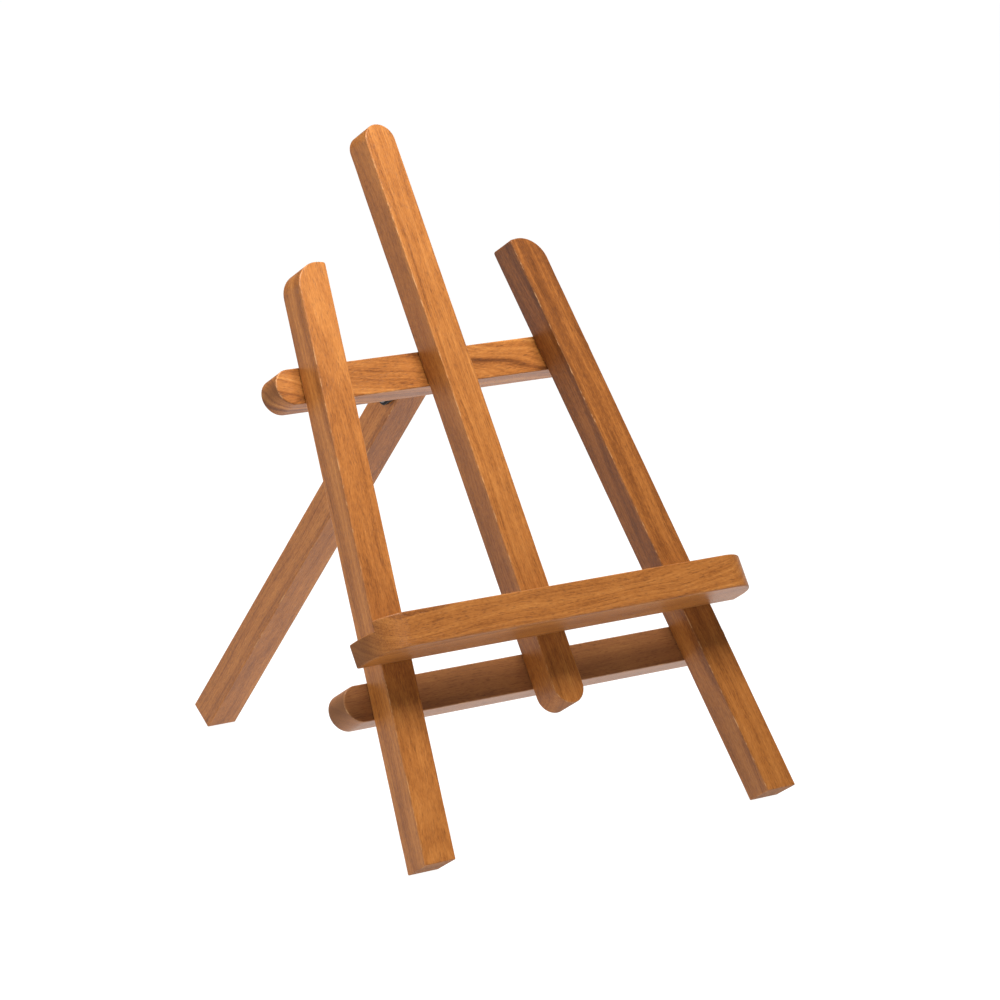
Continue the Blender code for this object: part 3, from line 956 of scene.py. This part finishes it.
def rivet_matrix():
    return Matrix.Translation(PIVOT.translation) @ ALONG_X


def rivet(look):
    """The pivot pin with a domed head outside each cheek."""
    node = "pivot_rivet"
    low, high = local_box(node, FRONT)
    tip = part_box(node)[1].x
    head_radius = (high.z - low.z) / 2
    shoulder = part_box("hinge_bracket")[1].x + CLEARANCE
    rise = tip - shoulder
    dome = [(0, tip)]
    for i in range(1, DOME_STEPS + 1):
        angle = math.pi / 2 * (1 - i / DOME_STEPS)
        dome.append((head_radius * math.cos(angle), shoulder + rise * math.sin(angle)))
    half_profile = dome + [(SHANK_RADIUS, shoulder)]
    profile = half_profile + [(radius, -height) for radius, height in reversed(half_profile)]
    pin = new_object(node + "_piece", turned(profile), rivet_matrix())
    show(settle(pin), node, "front_frame", look)


def screws(look):
    """Each screw at its place, its recess turned a little differently."""
    for index, (node, (head, radius, length)) in enumerate(sorted(SCREWS.items())):
        place = driven(head) @ Matrix.Rotation(RECESS_TURN * index, 4, "Z")
        piece = new_object(node + "_piece", screw_shape(radius, length), place)
        recess = new_object("recess", recess_shape(), place)
        boolean(piece, recess)
        show(settle(piece, recess), node, "front_frame", look)


# ---------------------------------------------------------------- studio


def floor():
    """A plain white floor."""
    shape = bmesh.new()
    bmesh.ops.create_grid(shape, x_segments=1, y_segments=1, size=FLOOR_HALF_SIZE)
    ground = new_object("studio_floor", shape, Matrix.Identity(4))
    made, tree, shader = new_material("studio_floor_paint")
    place = add_node(tree, "TexCoord").outputs["Object"]
    speckle = stretched_noise(tree, place, grey(30.0), 3.0).outputs["Fac"]
    paint = mix(tree, speckle, grey(0.14), grey(0.17))
    set_inputs(tree, shader, Base_Color=paint, Roughness=0.9)
    set_inputs(tree, shader, Emission_Color=WHITE, Emission_Strength=FLOOR_GLOW)
    ground.data.materials.append(made)


def softbox(name, place, size, power):
    """A square white light that faces the stand."""
    light = bpy.data.lights.new(name, "AREA")
    light.shape = "SQUARE"
    light.size = size
    light.energy = power
    made = bpy.data.objects.new(name, light)
    bpy.context.scene.collection.objects.link(made)
    made.location = place
    made.rotation_euler = (Vector(place) - Vector(LIGHT_AIM)).to_track_quat("Z", "Y").to_euler()


def room_light():
    """A dim white room, as bright as the floor in a low band around the horizon."""
    world = bpy.data.worlds.new("studio_world")
    bpy.context.scene.world = world
    world.use_nodes = True
    tree = world.node_tree
    rise = height_of(tree, add_node(tree, "TexCoord").outputs["Generated"])
    band = {"From Min": HORIZON_BAND[0], "From Max": HORIZON_BAND[1]}
    levels = {"Value": rise, "To Min": FLOOR_GLOW, "To Max": WORLD_LIGHT, **band}
    light = add_node(tree, "MapRange", levels).outputs["Result"]
    set_inputs(tree, tree.nodes["Background"], Color=WHITE, Strength=light)


def studio():
    floor()
    softbox("key_softbox", KEY_PLACE, KEY_SIZE, KEY_POWER)
    softbox("side_softbox", SIDE_PLACE, SIDE_SIZE, SIDE_POWER)
    room_light()
    bpy.context.scene.view_settings.view_transform = "Standard"


def camera():
    lens = bpy.data.cameras.new("camera")
    lens.lens = CAMERA_LENS
    lens.sensor_width = CAMERA_SENSOR
    made = bpy.data.objects.new("camera", lens)
    bpy.context.scene.collection.objects.link(made)
    aimed = Matrix.Rotation(-CAMERA_YAW, 4, "Z") @ Matrix.Rotation(math.pi / 2 + CAMERA_PITCH, 4, "X")
    made.matrix_world = Matrix.Translation(CAMERA_PLACE) @ aimed @ Matrix.Rotation(CAMERA_ROLL, 4, "Z")
    bpy.context.scene.camera = made


# ---------------------------------------------------------------- everything together


def build():
    outer_leg(
        -1,
        teak("left_leg", 1, (-4, 70), tilt=0.02, streaks=0.6, tone=1.1),
        "upper_screw_left",
        "lower_screw_left",
        "shelf_screw_left",
    )
    outer_leg(
        1,
        teak("right_leg", 2, (70, -20), streaks=0.45, tone=0.95, fade=-0.0011),
        "upper_screw_right",
        "lower_screw_right",
        "shelf_screw_right",
    )
    upright(
        teak("centre_upright", 3, (-80, 30), streaks=0.55, tone=1.0),
        "bracket_screw_left",
        "bracket_screw_right",
        "lower_screw_centre",
        "shelf_screw_centre",
    )
    crossbar(
        "upper_crossbar",
        teak("upper_crossbar", 4, (25, 40), tilt=0.12, streaks=1.3, tone=1.04, swirl=1.8, spacing=2.0),
        "upper_screw_left",
        "upper_screw_right",
        "bracket_screw_left",
        "bracket_screw_right",
    )
    crossbar(
        "lower_crossbar",
        teak("lower_crossbar", 5, (60, 60), streaks=0.5, tone=0.83, dull=0.35),
        "lower_screw_left",
        "lower_screw_right",
        "lower_screw_centre",
    )
    shelf(
        teak("shelf", 6, (-50, -30), tilt=0.03, streaks=0.6, tone=0.88, swirl=1.6, handled=2.4),
        "shelf_screw_left",
        "shelf_screw_right",
        "shelf_screw_centre",
    )
    rear_leg(teak("rear_leg", 7, (60, 20), streaks=0.6, tone=1.08))
    bracket(black_paint())
    rivet(plated_steel("rivet_dark_steel", RIVET_STEEL, 0.25))
    screws(plated_steel("screw_zinc_plate", ZINC_PLATE, 0.2))


build()
studio()
camera()
